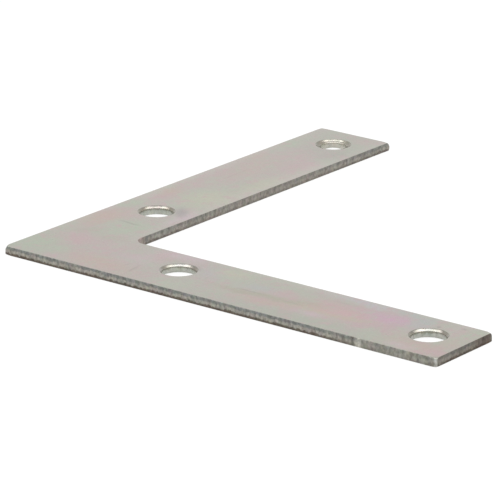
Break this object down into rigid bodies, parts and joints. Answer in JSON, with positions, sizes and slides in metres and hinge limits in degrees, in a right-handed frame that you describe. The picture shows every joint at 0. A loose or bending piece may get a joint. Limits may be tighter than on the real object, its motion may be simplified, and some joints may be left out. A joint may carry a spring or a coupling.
{
  "type": "flat corner brace",
  "caption": "Flat L-shaped steel corner brace with equal legs, rolled edges and countersunk screw holes in each leg.",
  "frame": {"origin": "where the centre lines of the two rows of screw holes cross, on the flat back face", "axes": "+X along one leg and +Y along the other, away from the corner; +Z out of the countersunk front face"},
  "size_m": [0.1016, 0.1016, 0.0018],
  "materials": {
    "zinc": "satin zinc plate with pale pink, green and yellow passivation, sheared sides left duller and streaked"
  },
  "bodies": {
    "root": {"corner_plate": "zinc"}
  },
  "joints": []
}
